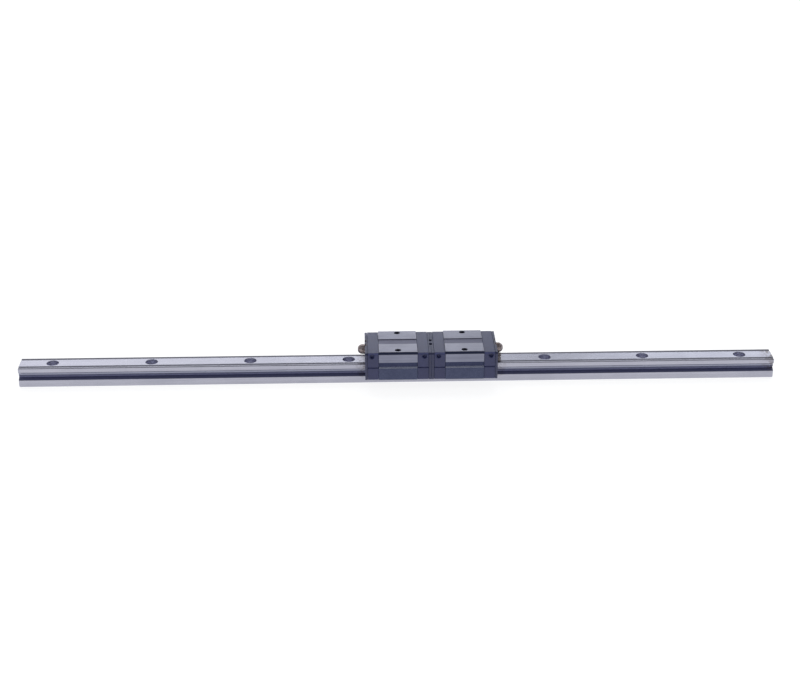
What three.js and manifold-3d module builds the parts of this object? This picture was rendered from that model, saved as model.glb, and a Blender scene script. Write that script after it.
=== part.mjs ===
// Profile-rail linear guide: one rail, two short ball carriages on it, touching end to end.
// Millimetres. X runs along the rail, Y across it, Z up; the origin is under the rail's middle.
import * as THREE from 'three';
import { mergeVertices } from 'three/addons/utils/BufferGeometryUtils.js';
import Module from 'manifold-3d';

const wasm = await Module();
wasm.setup();

// ---- rail ----
const RAIL_LENGTH = 460;
const RAIL_HEIGHT = 12.5;
const RAIL_HALF_WIDTH = 7.5;
const RAIL_NECK_HALF_WIDTH = 5.2;
const RAIL_BASE_TOP = 4.5;
const RAIL_BASE_SLOPE = 1.3;
const RAIL_NECK_HEIGHT = 0.9;
const RAIL_EDGE_BREAK = 0.45;
const HOLE_PITCH = 60;
const HOLE_COUNT = 8;
const BOLT_HOLE_RADIUS = 2.25;
const COUNTERBORE_RADIUS = 3.75;
const COUNTERBORE_DEPTH = 5.3;

// ---- carriage outside ----
const CARRIAGE_HEIGHT = 24;
const CARRIAGE_HALF_WIDTH = 17;
const CARRIAGE_BOTTOM = 5.9;
const BLOCK_HALF_LENGTH = 11.65;
const TOP_CHAMFER = 1.25;
const BOTTOM_CHAMFER = 0.5;
const TOP_RECESS_HALF_WIDTH = 3.65;
const TOP_RECESS_DEPTH = 0.4;
const SIDE_GROOVE_TOP = 17.45;
const SIDE_GROOVE_BOTTOM = 14.3;
const SIDE_GROOVE_DEPTH = 1.1;
const LEDGE_BOTTOM = 13.7;
const LOWER_HALF_WIDTH = 16.85;
const MOUNT_HOLE_SPREAD = 26;
const MOUNT_HOLE_RADIUS = 1.65;
const MOUNT_HOLE_DEPTH = 7;
const CARRIAGE_X = { left: -0.2, right: 39.9 };

// ---- running gear ----
const RUNNING_GAP = 0.7;
const BALL_RADIUS = 1.389;
const BALL_TRACK_RADIUS = 1.5;
const RETURN_HOLE_RADIUS = 1.55;
const BALLS_PER_CIRCUIT = 20;
const CAGE_RADIUS = 0.6;
const TURN_RADIUS = 2.6;
const GUIDE_RADIUS = 0.95;
const GUIDE_HALF_HEIGHT = 1.35;
// Where each loaded row runs, and the direction from it to its return row, in the Y-Z plane.
const CIRCUITS = {
  upper: { y: 5.75, z: 13.2, tilt: Math.PI / 2 },
  lower: { y: 7.4, z: 8.0, tilt: THREE.MathUtils.degToRad(35) },
};

// ---- end plates and seals ----
const JOINT_GAP = 0.15;
const PLATE_THICKNESS = 6.5;
const PLATE_HALF_WIDTH = 16.75;
const PLATE_TOP = 23.4;
const PLATE_BOTTOM = 6.0;
const PLATE_CHAMFER = 1.0;
const PLATE_NOTCH_TOP = 14.9;
const PLATE_NOTCH_BOTTOM = 13.7;
const PLATE_NOTCH_DEPTH = 0.5;
const PLATE_RAIL_GAP = 0.9;
const LIP_REACH = 0.9;
const PILOT_HOLE_RADIUS = 1.5;
const PILOT_HOLE_DEPTH = 2.3;
const PILOT_HOLE_X = 15.8;
const PILOT_HOLE_Z = 21.4;
const SEAL_THICKNESS = 1.45;
const SEAL_HALF_WIDTH = 16.6;
const SEAL_TOP = 23.3;
const SEAL_RAIL_GAP = 0.3;
const SEAL_NOTCH_Y = 2.8;
const SEAL_NOTCH_WIDTH = 2.6;
const SEAL_NOTCH_DEPTH = 0.7;
const SEAL_NOTCH_BOTTOM = 20.6;
const SIDE_SEAL_INNER_Y = 7.9;
const SIDE_SEAL_OUTER_Y = 13.6;
const SIDE_SEAL_THICKNESS = 0.55;
const SIDE_SEAL_LIP = 0.2;

// ---- screws, grease nipple and plug ----
const SCREW_Y = 11.2;
const SCREW_Z = 19.0;
const SCREW_RADIUS = 1.2;
const SCREW_HOLE_RADIUS = 1.4;
const SCREW_DEPTH_IN_BLOCK = 4.5;
const SCREW_POINT_LENGTH = 0.5;
const SCREW_POINT_RADIUS = 0.84;
const SCREW_SEAT_GAP = 0.05;
const SCREW_HEAD_RADIUS = 2.1;
const SCREW_HEAD_HEIGHT = 1.3;
const SCREW_HEAD_EDGE = 0.4;
const SOCKET_RADIUS = 0.8;
const SOCKET_DEPTH = 0.8;
const GREASE_Z = 19.3;
const GREASE_BORE_RADIUS = 1.75;
const GREASE_CHANNEL_RADIUS = 0.9;
const NIPPLE_SEAT_RADIUS = 3.4;
const NIPPLE_SHANK_RADIUS = 1.65;
const NIPPLE_SHANK_LENGTH = 3.9;
const NIPPLE_SHANK_TAPER = 0.8;
const NIPPLE_SHANK_POINT_RADIUS = 1.3;
const NIPPLE_FLOOR = 1.2;
const NIPPLE_SEAT_CONE = 0.35;
const NIPPLE_BORE_RADIUS = 0.95;
const NIPPLE_VENT_RADIUS = 0.45;
const NIPPLE_SHOULDER_GAP = 0.1;
const NIPPLE_HEAD_RADIUS = 3.1;
const NIPPLE_DOME_LENGTH = 2.0;
const NIPPLE_TIP_RADIUS = 1.4;
const NIPPLE_MOUTH_RADIUS = 1.2;
const NIPPLE_TIP_X = 24.2;
const NIPPLE_BALL_RADIUS = 0.75;
const NIPPLE_BALL_INSET = 1.5;
const NIPPLE_BALL_GAP = 0.3;
const NIPPLE_BALL_TRAVEL = 0.5;
const SPRING_WIRE = 0.2;
const SPRING_RADIUS = 0.6;
const SPRING_TURNS = 4;
const PLUG_LENGTH = 3.6;
const PLUG_INSET = 0.2;
const PLUG_EDGE = 0.3;

const PLATE_INNER_X = BLOCK_HALF_LENGTH + JOINT_GAP;
const PLATE_OUTER_X = PLATE_INNER_X + PLATE_THICKNESS;
const SEAL_INNER_X = PLATE_OUTER_X + JOINT_GAP;
const SEAL_OUTER_X = SEAL_INNER_X + SEAL_THICKNESS;

const FACETS = 20;
const SMALL_FACETS = 10;
const ARC_STEPS = 6;
const STEPS_PER_TURN = 9;
// A cut reaches this far past the face that it leaves through.
const PAST = 1;

const metal = (color, roughness) => new THREE.MeshStandardMaterial({ color, roughness, metalness: 1 });
const plastic = (color, roughness) => new THREE.MeshStandardMaterial({ color, roughness, metalness: 0 });
const MATERIALS = {
  rail: metal(0xb9b9c2, 0.32),
  block: metal(0x9a9ca6, 0.38),
  plate: plastic(0x4a4d5e, 0.55),
  seal: plastic(0x2c2e3a, 0.7),
  guide: plastic(0x8d8f96, 0.5),
  balls: metal(0xc9cbd2, 0.15),
  screw: metal(0x3a3b42, 0.4),
  nipple: metal(0x8a6f55, 0.4),
  spring: metal(0xb0b2b8, 0.3),
};

// ---- shape helpers ----

function arc(y, z, radius, fromDegrees, toDegrees, steps = ARC_STEPS) {
  const points = [];
  for (let i = 0; i <= steps; i += 1) {
    const angle = THREE.MathUtils.degToRad(fromDegrees + ((toDegrees - fromDegrees) * i) / steps);
    points.push([y + radius * Math.cos(angle), z + radius * Math.sin(angle)]);
  }
  return points;
}

function withMirror(half) {
  const mirrored = half.map(([y, z]) => [-y, z]).reverse();
  return [...half, ...mirrored];
}

function box(x0, x1, y0, y1, z0, z1) {
  const geometry = new THREE.BoxGeometry(x1 - x0, y1 - y0, z1 - z0);
  return geometry.translate((x0 + x1) / 2, (y0 + y1) / 2, (z0 + z1) / 2);
}

// A Y-Z outline swept along X from x0 to x1.
function sweepX(outline, x0, x1) {
  const shape = new THREE.Shape(outline.map(([y, z]) => new THREE.Vector2(y, z)));
  const geometry = new THREE.ExtrudeGeometry(shape, { depth: x1 - x0, bevelEnabled: false });
  const turn = new THREE.Matrix4().makeBasis(
    new THREE.Vector3(0, 1, 0),
    new THREE.Vector3(0, 0, 1),
    new THREE.Vector3(1, 0, 0),
  );
  return geometry.applyMatrix4(turn).translate(x0, 0, 0);
}

function cylinder(axis, radius, from, to, a, b, facets = FACETS) {
  const geometry = new THREE.CylinderGeometry(radius, radius, to - from, facets);
  geometry.translate(0, (from + to) / 2, 0);
  if (axis === 'x') return geometry.rotateZ(-Math.PI / 2).translate(0, a, b);
  if (axis === 'z') return geometry.rotateX(Math.PI / 2).translate(a, b, 0);
  return geometry.translate(a, 0, b);
}

// A closed profile of [x, radius] points turned about the X axis.
function turnX(profile, facets = FACETS) {
  const points = profile.map(([x, radius]) => new THREE.Vector2(radius, x));
  return new THREE.LatheGeometry(points, facets).rotateZ(-Math.PI / 2);
}

function toSolid(geometry) {
  const bare = geometry.clone();
  bare.deleteAttribute('normal');
  bare.deleteAttribute('uv');
  const merged = mergeVertices(bare, 1e-4);
  return new wasm.Manifold(new wasm.Mesh({
    numProp: 3,
    vertProperties: new Float32Array(merged.attributes.position.array),
    triVerts: new Uint32Array(merged.index.array),
  }));
}

function toGeometry(solid) {
  const mesh = solid.getMesh();
  const geometry = new THREE.BufferGeometry();
  geometry.setAttribute('position', new THREE.BufferAttribute(new Float32Array(mesh.vertProperties), 3));
  geometry.setIndex(new THREE.BufferAttribute(new Uint32Array(mesh.triVerts), 1));
  geometry.computeVertexNormals();
  return geometry;
}

function cut(body, tools) {
  return toGeometry(tools.reduce((solid, tool) => solid.subtract(toSolid(tool)), toSolid(body)));
}

const bothSides = (make) => [-1, 1].flatMap(make);

// ---- outlines shared by the pieces that run on the rail ----

// The rail's right half from its base up: neck, lower ball track, side, upper ball track.
function railHalf() {
  const { upper, lower } = CIRCUITS;
  const edge = RAIL_EDGE_BREAK;
  const neckBottom = RAIL_BASE_TOP + RAIL_BASE_SLOPE;
  return [
    [RAIL_HALF_WIDTH - edge, 0],
    [RAIL_HALF_WIDTH, edge],
    [RAIL_HALF_WIDTH, RAIL_BASE_TOP],
    [RAIL_NECK_HALF_WIDTH, neckBottom],
    [RAIL_NECK_HALF_WIDTH, neckBottom + RAIL_NECK_HEIGHT],
    ...arc(lower.y, lower.z, BALL_TRACK_RADIUS, 210, 86),
    [RAIL_HALF_WIDTH, RAIL_HEIGHT - edge],
    ...arc(upper.y, upper.z, BALL_TRACK_RADIUS, -30, -152),
  ];
}

// The opening of an end piece, going down: it follows the rail at a distance, with a lip that
// reaches into the lower ball track.
function openingHalf(gap, bottom) {
  const side = RAIL_HALF_WIDTH + gap;
  const trackZ = CIRCUITS.lower.z;
  return [
    [side, RAIL_HEIGHT + gap],
    [side, trackZ + BALL_TRACK_RADIUS],
    [side - LIP_REACH, trackZ + LIP_REACH / 2],
    [side - LIP_REACH, trackZ - LIP_REACH],
    [side, trackZ - 2 * LIP_REACH],
    [side, bottom],
  ];
}

function outerHalf(halfWidth, top, bottom, chamfer) {
  return [
    [halfWidth - BOTTOM_CHAMFER, bottom],
    [halfWidth, bottom + BOTTOM_CHAMFER],
    [halfWidth, top - chamfer],
    [halfWidth - chamfer, top],
  ];
}

// ---- rail ----

function railGeometry() {
  const body = sweepX(withMirror(railHalf()), -RAIL_LENGTH / 2, RAIL_LENGTH / 2);
  const tools = [];
  for (let i = 0; i < HOLE_COUNT; i += 1) {
    const x = (i - (HOLE_COUNT - 1) / 2) * HOLE_PITCH;
    const seat = RAIL_HEIGHT - COUNTERBORE_DEPTH;
    tools.push(cylinder('z', BOLT_HOLE_RADIUS, -PAST, seat + PAST, x, 0));
    tools.push(cylinder('z', COUNTERBORE_RADIUS, seat, RAIL_HEIGHT + PAST, x, 0));
  }
  return cut(body, tools);
}

// ---- carriage pieces, made with the outer end towards +X ----

function blockOutline() {
  const { upper, lower } = CIRCUITS;
  const inside = RAIL_HALF_WIDTH + RUNNING_GAP;
  const ceiling = RAIL_HEIGHT + RUNNING_GAP;
  const grooveWall = CARRIAGE_HALF_WIDTH - SIDE_GROOVE_DEPTH;
  const meet = THREE.MathUtils.radToDeg(Math.acos((inside - lower.y) / BALL_TRACK_RADIUS));
  return withMirror([
    ...arc(upper.y, upper.z, BALL_TRACK_RADIUS, 180, 0),
    [inside, ceiling],
    ...arc(lower.y, lower.z, BALL_TRACK_RADIUS, meet, -meet),
    [inside, CARRIAGE_BOTTOM],
    [LOWER_HALF_WIDTH - BOTTOM_CHAMFER, CARRIAGE_BOTTOM],
    [LOWER_HALF_WIDTH, CARRIAGE_BOTTOM + BOTTOM_CHAMFER],
    [LOWER_HALF_WIDTH, LEDGE_BOTTOM],
    [grooveWall, SIDE_GROOVE_BOTTOM],
    [grooveWall, SIDE_GROOVE_TOP],
    [CARRIAGE_HALF_WIDTH, SIDE_GROOVE_TOP],
    [CARRIAGE_HALF_WIDTH, CARRIAGE_HEIGHT - TOP_CHAMFER],
    [CARRIAGE_HALF_WIDTH - TOP_CHAMFER, CARRIAGE_HEIGHT],
    [TOP_RECESS_HALF_WIDTH, CARRIAGE_HEIGHT],
    [TOP_RECESS_HALF_WIDTH, CARRIAGE_HEIGHT - TOP_RECESS_DEPTH],
  ]);
}

// Centre of a circuit's return row on one side of the rail.
function returnRow(circuit, side) {
  const reach = 2 * TURN_RADIUS;
  return {
    y: side * (circuit.y + reach * Math.cos(circuit.tilt)),
    z: circuit.z + reach * Math.sin(circuit.tilt),
  };
}

function blockGeometry() {
  const reach = BLOCK_HALF_LENGTH + PAST;
  const tools = bothSides((side) => {
    const returns = Object.values(CIRCUITS).map((circuit) => {
      const row = returnRow(circuit, side);
      return cylinder('x', RETURN_HOLE_RADIUS, -reach, reach, row.y, row.z, SMALL_FACETS);
    });
    const drill = cylinder('z', MOUNT_HOLE_RADIUS, CARRIAGE_HEIGHT - MOUNT_HOLE_DEPTH,
      CARRIAGE_HEIGHT + PAST, 0, (side * MOUNT_HOLE_SPREAD) / 2);
    const screwHoles = bothSides((end) => {
      const from = end * (BLOCK_HALF_LENGTH - SCREW_DEPTH_IN_BLOCK - JOINT_GAP);
      const ends = [from, end * reach].sort((a, b) => a - b);
      return cylinder('x', SCREW_HOLE_RADIUS, ends[0], ends[1], side * SCREW_Y, SCREW_Z, SMALL_FACETS);
    });
    return [...returns, drill, ...screwHoles];
  });
  return cut(sweepX(blockOutline(), -BLOCK_HALF_LENGTH, BLOCK_HALF_LENGTH), tools);
}

// A piece placed on a circuit: local X stays X, local Y points from loaded row to return row.
function placeOnCircuit(geometry, circuit, side) {
  const away = new THREE.Vector3(0, side * Math.cos(circuit.tilt), Math.sin(circuit.tilt));
  const along = new THREE.Vector3(1, 0, 0);
  const normal = new THREE.Vector3().crossVectors(along, away);
  const frame = new THREE.Matrix4().makeBasis(along, away, normal);
  frame.setPosition(0, side * circuit.y, circuit.z);
  return geometry.applyMatrix4(frame);
}

// Half-round pocket in which a ball row turns back: local centre half way between the two rows.
function turnPocket(circuit, side) {
  const clearance = RETURN_HOLE_RADIUS;
  const pocket = new THREE.CylinderGeometry(
    TURN_RADIUS + clearance, TURN_RADIUS + clearance, 2 * clearance, FACETS);
  pocket.rotateX(Math.PI / 2).translate(PLATE_INNER_X, TURN_RADIUS, 0);
  return placeOnCircuit(pocket, circuit, side);
}

function plateGeometry() {
  const outline = withMirror([
    ...openingHalf(PLATE_RAIL_GAP, PLATE_BOTTOM),
    [PLATE_HALF_WIDTH - BOTTOM_CHAMFER, PLATE_BOTTOM],
    [PLATE_HALF_WIDTH, PLATE_BOTTOM + BOTTOM_CHAMFER],
    [PLATE_HALF_WIDTH, PLATE_NOTCH_BOTTOM],
    [PLATE_HALF_WIDTH - PLATE_NOTCH_DEPTH, PLATE_NOTCH_BOTTOM],
    [PLATE_HALF_WIDTH - PLATE_NOTCH_DEPTH, PLATE_NOTCH_TOP],
    [PLATE_HALF_WIDTH, PLATE_NOTCH_TOP],
    [PLATE_HALF_WIDTH, PLATE_TOP - PLATE_CHAMFER],
    [PLATE_HALF_WIDTH - PLATE_CHAMFER, PLATE_TOP],
  ]);
  const reach = PLATE_OUTER_X + PAST;
  const tools = bothSides((side) => {
    const pockets = Object.values(CIRCUITS).map((circuit) => turnPocket(circuit, side));
    const bottom = side * (PLATE_HALF_WIDTH - PILOT_HOLE_DEPTH);
    const ends = [bottom, side * (PLATE_HALF_WIDTH + PAST)].sort((a, b) => a - b);
    const pilot = cylinder('y', PILOT_HOLE_RADIUS, ends[0], ends[1], PILOT_HOLE_X, PILOT_HOLE_Z);
    const screwHole = cylinder('x', SCREW_HOLE_RADIUS, 0, reach, side * SCREW_Y, SCREW_Z, SMALL_FACETS);
    return [...pockets, pilot, screwHole];
  });
  tools.push(cylinder('x', GREASE_CHANNEL_RADIUS, 0, reach, 0, GREASE_Z, SMALL_FACETS));
  tools.push(cylinder('x', GREASE_BORE_RADIUS, PLATE_OUTER_X - NIPPLE_SHANK_LENGTH - JOINT_GAP, reach,
    0, GREASE_Z, FACETS));
  return cut(sweepX(outline, PLATE_INNER_X, PLATE_OUTER_X), tools);
}

function sealGeometry() {
  const outline = withMirror([
    ...openingHalf(SEAL_RAIL_GAP, PLATE_BOTTOM - JOINT_GAP),
    ...outerHalf(SEAL_HALF_WIDTH, SEAL_TOP, PLATE_BOTTOM - JOINT_GAP, PLATE_CHAMFER),
  ]);
  const from = SEAL_INNER_X - PAST;
  const to = SEAL_OUTER_X + PAST;
  const headRoom = SCREW_HEAD_RADIUS + JOINT_GAP;
  const tools = bothSides((side) => {
    const y = side * SEAL_NOTCH_Y;
    const half = SEAL_NOTCH_WIDTH / 2;
    return [
      cylinder('x', headRoom, from, to, side * SCREW_Y, SCREW_Z),
      box(SEAL_OUTER_X - SEAL_NOTCH_DEPTH, to, y - half, y + half, SEAL_NOTCH_BOTTOM, SEAL_TOP + PAST),
    ];
  });
  tools.push(cylinder('x', NIPPLE_SEAT_RADIUS, from, to, 0, GREASE_Z));
  return cut(sweepX(outline, SEAL_INNER_X, SEAL_OUTER_X), tools);
}

function sideSealGeometry(side) {
  const top = CARRIAGE_BOTTOM - JOINT_GAP;
  const bottom = top - SIDE_SEAL_THICKNESS;
  const outline = [
    [SIDE_SEAL_INNER_Y, bottom],
    [SIDE_SEAL_OUTER_Y, bottom],
    [SIDE_SEAL_OUTER_Y, top],
    [SIDE_SEAL_INNER_Y + SIDE_SEAL_THICKNESS, top],
    [SIDE_SEAL_INNER_Y, top - SIDE_SEAL_LIP],
  ];
  const turned = side > 0 ? outline : outline.map(([y, z]) => [-y, z]).reverse();
  return sweepX(turned, -BLOCK_HALF_LENGTH, BLOCK_HALF_LENGTH);
}

// ---- ball circuits ----

// Point, and outward direction in the circuit's plane, at a distance along the racetrack.
function racetrack(distance) {
  const straight = 2 * BLOCK_HALF_LENGTH;
  const bend = Math.PI * TURN_RADIUS;
  if (distance < straight) {
    return { x: distance - straight / 2, y: 0, outX: 0, outY: -1 };
  }
  if (distance < straight + bend) {
    const angle = (distance - straight) / TURN_RADIUS;
    return {
      x: straight / 2 + TURN_RADIUS * Math.sin(angle),
      y: TURN_RADIUS - TURN_RADIUS * Math.cos(angle),
      outX: Math.sin(angle),
      outY: -Math.cos(angle),
    };
  }
  const back = racetrack(distance - straight - bend);
  return { x: -back.x, y: 2 * TURN_RADIUS - back.y, outX: -back.outX, outY: -back.outY };
}

// A closed string of balls joined by their cage: rings of vertices, wide at each ball's
// middle and narrow half way to the next.
function ballChainGeometry(circuit, side) {
  const sides = 6;
  const rings = 2 * BALLS_PER_CIRCUIT;
  const length = 4 * BLOCK_HALF_LENGTH + 2 * Math.PI * TURN_RADIUS;
  const positions = [];
  const index = [];
  for (let ring = 0; ring < rings; ring += 1) {
    const at = racetrack((ring * length) / rings);
    const radius = ring % 2 === 0 ? BALL_RADIUS : CAGE_RADIUS;
    for (let k = 0; k < sides; k += 1) {
      const angle = (2 * Math.PI * k) / sides;
      const out = radius * Math.cos(angle);
      positions.push(at.x + at.outX * out, at.y + at.outY * out, radius * Math.sin(angle));
      const next = ((ring + 1) % rings) * sides;
      const a = ring * sides + k;
      const b = ring * sides + ((k + 1) % sides);
      const c = next + k;
      const d = next + ((k + 1) % sides);
      index.push(a, c, b, b, c, d);
    }
  }
  const geometry = new THREE.BufferGeometry();
  geometry.setAttribute('position', new THREE.Float32BufferAttribute(positions, 3));
  geometry.setIndex(index);
  geometry.computeVertexNormals();
  return placeOnCircuit(geometry, circuit, side);
}

// The half-round core that the balls turn about inside an end plate.
function returnGuideGeometry(circuit, side) {
  const outline = new THREE.Shape();
  outline.absarc(0, 0, GUIDE_RADIUS, -Math.PI / 2, Math.PI / 2, false);
  outline.closePath();
  const geometry = new THREE.ExtrudeGeometry(outline, {
    depth: 2 * GUIDE_HALF_HEIGHT,
    bevelEnabled: false,
    curveSegments: SMALL_FACETS,
  });
  geometry.translate(PLATE_INNER_X, TURN_RADIUS, -GUIDE_HALF_HEIGHT);
  return placeOnCircuit(geometry, circuit, side);
}

// ---- fasteners and greasing pieces ----

function endScrewGeometry(side) {
  const seat = PLATE_OUTER_X + SCREW_SEAT_GAP;
  const tip = BLOCK_HALF_LENGTH - SCREW_DEPTH_IN_BLOCK;
  const top = seat + SCREW_HEAD_HEIGHT;
  const profile = [
    [tip, 0],
    [tip, SCREW_POINT_RADIUS],
    [tip + SCREW_POINT_LENGTH, SCREW_RADIUS],
    [seat, SCREW_RADIUS],
    [seat, SCREW_HEAD_RADIUS],
    [top - SCREW_HEAD_EDGE, SCREW_HEAD_RADIUS],
    [top, SCREW_HEAD_RADIUS - SCREW_HEAD_EDGE],
    [top, SOCKET_RADIUS],
    [top - SOCKET_DEPTH, SOCKET_RADIUS],
    [top - SOCKET_DEPTH, 0],
  ];
  return turnX(profile, SMALL_FACETS).translate(0, side * SCREW_Y, SCREW_Z);
}

// Drive-in nipple: barbed shank, domed head with a coned mouth, and a bore for its valve.
function nippleGeometry() {
  const shankEnd = PLATE_OUTER_X - NIPPLE_SHANK_LENGTH;
  const shoulder = PLATE_OUTER_X + NIPPLE_SHOULDER_GAP;
  const boreEnd = NIPPLE_TIP_X - NIPPLE_BALL_INSET + NIPPLE_BALL_RADIUS;
  const boreStart = shankEnd + NIPPLE_FLOOR;
  const domeStart = NIPPLE_TIP_X - NIPPLE_DOME_LENGTH;
  const domeDrop = NIPPLE_HEAD_RADIUS - NIPPLE_TIP_RADIUS;
  const profile = [
    [shankEnd, NIPPLE_VENT_RADIUS],
    [shankEnd, NIPPLE_SHANK_POINT_RADIUS],
    [shankEnd + NIPPLE_SHANK_TAPER, NIPPLE_SHANK_RADIUS],
    [shoulder, NIPPLE_SHANK_RADIUS],
    [shoulder, NIPPLE_HEAD_RADIUS],
  ];
  for (const angle of [0, Math.PI / 6, Math.PI / 3, Math.PI / 2]) {
    profile.push([
      domeStart + NIPPLE_DOME_LENGTH * Math.sin(angle),
      NIPPLE_TIP_RADIUS + domeDrop * Math.cos(angle),
    ]);
  }
  profile.push(
    [NIPPLE_TIP_X, NIPPLE_MOUTH_RADIUS],
    [boreEnd, NIPPLE_VENT_RADIUS],
    [boreEnd - NIPPLE_SEAT_CONE, NIPPLE_BORE_RADIUS],
    [boreStart, NIPPLE_BORE_RADIUS],
    [boreStart, NIPPLE_VENT_RADIUS],
    [shankEnd, NIPPLE_VENT_RADIUS],
  );
  return turnX(profile).translate(0, 0, GREASE_Z);
}

const NIPPLE_BALL_X = NIPPLE_TIP_X - NIPPLE_BALL_INSET - NIPPLE_BALL_GAP;

function nippleBallGeometry() {
  return new THREE.SphereGeometry(NIPPLE_BALL_RADIUS, 8, 6).translate(NIPPLE_BALL_X, 0, GREASE_Z);
}

class Helix extends THREE.Curve {
  constructor(radius, from, to, turns) {
    super();
    Object.assign(this, { radius, from, to, turns });
  }

  getPoint(t, target = new THREE.Vector3()) {
    const angle = 2 * Math.PI * this.turns * t;
    return target.set(
      this.from + (this.to - this.from) * t,
      this.radius * Math.cos(angle),
      GREASE_Z + this.radius * Math.sin(angle),
    );
  }
}

// The spring has the length that it is pressed to when the ball is pushed right in.
function nippleSpringGeometry() {
  const half = SPRING_WIRE / 2;
  const from = PLATE_OUTER_X - NIPPLE_SHANK_LENGTH + NIPPLE_FLOOR + SPRING_WIRE;
  const to = NIPPLE_BALL_X - NIPPLE_BALL_RADIUS - NIPPLE_BALL_TRAVEL - SPRING_WIRE;
  const section = new THREE.Shape([
    new THREE.Vector2(-half, -half),
    new THREE.Vector2(half, -half),
    new THREE.Vector2(half, half),
    new THREE.Vector2(-half, half),
  ]);
  return new THREE.ExtrudeGeometry(section, {
    steps: SPRING_TURNS * STEPS_PER_TURN,
    bevelEnabled: false,
    extrudePath: new Helix(SPRING_RADIUS, from, to, SPRING_TURNS),
  });
}

// Set screw that closes the unused grease port.
function plugGeometry() {
  const outer = PLATE_OUTER_X - PLUG_INSET;
  const inner = outer - PLUG_LENGTH;
  const profile = [
    [inner, 0],
    [inner, NIPPLE_SHANK_RADIUS - PLUG_EDGE],
    [inner + PLUG_EDGE, NIPPLE_SHANK_RADIUS],
    [outer - PLUG_EDGE, NIPPLE_SHANK_RADIUS],
    [outer, NIPPLE_SHANK_RADIUS - PLUG_EDGE],
    [outer, SOCKET_RADIUS],
    [outer - 2 * SOCKET_DEPTH, SOCKET_RADIUS],
    [outer - 2 * SOCKET_DEPTH, 0],
  ];
  return turnX(profile, SMALL_FACETS).translate(0, 0, GREASE_Z);
}

// ---- assembly ----

function named(name, geometry, material) {
  const mesh = new THREE.Mesh(geometry, material.clone());
  mesh.name = name;
  return mesh;
}

// The pieces at one end of a carriage, made for its +X end; the other end is turned round.
function endGroup(prefix, end, sideName, nippleHere) {
  const group = new THREE.Group();
  const label = `${prefix}_${end}`;
  group.add(named(`${label}_end_plate`, plateGeometry(), MATERIALS.plate));
  group.add(named(`${label}_end_seal`, sealGeometry(), MATERIALS.seal));
  for (const side of [-1, 1]) {
    group.add(named(`${label}_${sideName(side)}_end_screw`, endScrewGeometry(side), MATERIALS.screw));
    for (const [row, circuit] of Object.entries(CIRCUITS)) {
      const name = `${label}_${sideName(side)}_${row}_return_guide`;
      group.add(named(name, returnGuideGeometry(circuit, side), MATERIALS.guide));
    }
  }
  if (nippleHere) {
    group.add(named(`${prefix}_grease_nipple`, nippleGeometry(), MATERIALS.nipple));
    group.add(named(`${prefix}_nipple_ball`, nippleBallGeometry(), MATERIALS.balls));
    group.add(named(`${prefix}_nipple_spring`, nippleSpringGeometry(), MATERIALS.spring));
  } else {
    group.add(named(`${prefix}_grease_plug`, plugGeometry(), MATERIALS.screw));
  }
  return group;
}

// outward is +1 where the carriage's greased end faces +X, and -1 where it faces -X.
function carriage(prefix, outward) {
  const group = new THREE.Group();
  const nameFor = (turn) => (side) => (side * turn < 0 ? 'front' : 'rear');
  const outer = endGroup(prefix, 'outer', nameFor(outward), true);
  const inner = endGroup(prefix, 'inner', nameFor(-outward), false);
  inner.rotation.z = Math.PI;
  group.add(outer, inner);
  group.add(named(`${prefix}_block`, blockGeometry(), MATERIALS.block));
  for (const side of [-1, 1]) {
    const sideName = nameFor(outward)(side);
    group.add(named(`${prefix}_${sideName}_side_seal`, sideSealGeometry(side), MATERIALS.seal));
    for (const [row, circuit] of Object.entries(CIRCUITS)) {
      const name = `${prefix}_${sideName}_${row}_ball_chain`;
      group.add(named(name, ballChainGeometry(circuit, side), MATERIALS.balls));
    }
  }
  group.rotation.z = outward > 0 ? 0 : Math.PI;
  group.position.x = CARRIAGE_X[prefix];
  return group;
}

const guide = new THREE.Group();
guide.add(named('rail', railGeometry(), MATERIALS.rail));
guide.add(carriage('left', -1));
guide.add(carriage('right', 1));

export default guide;
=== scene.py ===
"""Looks of a profile-rail linear guide: a rail and two short carriages, built finely on the CAD frame."""

import math

import bmesh
import bpy
from mathutils import Matrix, Vector


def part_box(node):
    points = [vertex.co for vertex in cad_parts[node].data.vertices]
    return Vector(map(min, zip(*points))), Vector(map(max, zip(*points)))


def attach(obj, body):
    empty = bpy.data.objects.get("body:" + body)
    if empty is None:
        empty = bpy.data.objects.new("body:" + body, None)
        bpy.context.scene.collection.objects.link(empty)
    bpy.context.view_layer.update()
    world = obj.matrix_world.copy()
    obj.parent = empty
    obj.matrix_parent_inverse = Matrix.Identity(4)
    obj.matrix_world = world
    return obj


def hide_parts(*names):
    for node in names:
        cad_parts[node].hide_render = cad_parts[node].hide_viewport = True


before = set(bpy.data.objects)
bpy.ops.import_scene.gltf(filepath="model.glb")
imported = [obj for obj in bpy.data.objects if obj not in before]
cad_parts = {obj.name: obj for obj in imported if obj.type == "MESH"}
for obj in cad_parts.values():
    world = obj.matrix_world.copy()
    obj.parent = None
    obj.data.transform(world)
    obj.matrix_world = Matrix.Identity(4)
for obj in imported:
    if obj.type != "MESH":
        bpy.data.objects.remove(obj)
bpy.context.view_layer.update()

MM = 0.001
CARRIAGES = ("left", "right")
ENDS = ("outer", "inner")
ROWS = ("upper", "lower")

# ---- sizes, in millimetres, read from the frame where it holds them ----


def box_mm(node):
    low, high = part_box(node)
    return Vector(low) / MM, Vector(high) / MM


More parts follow.
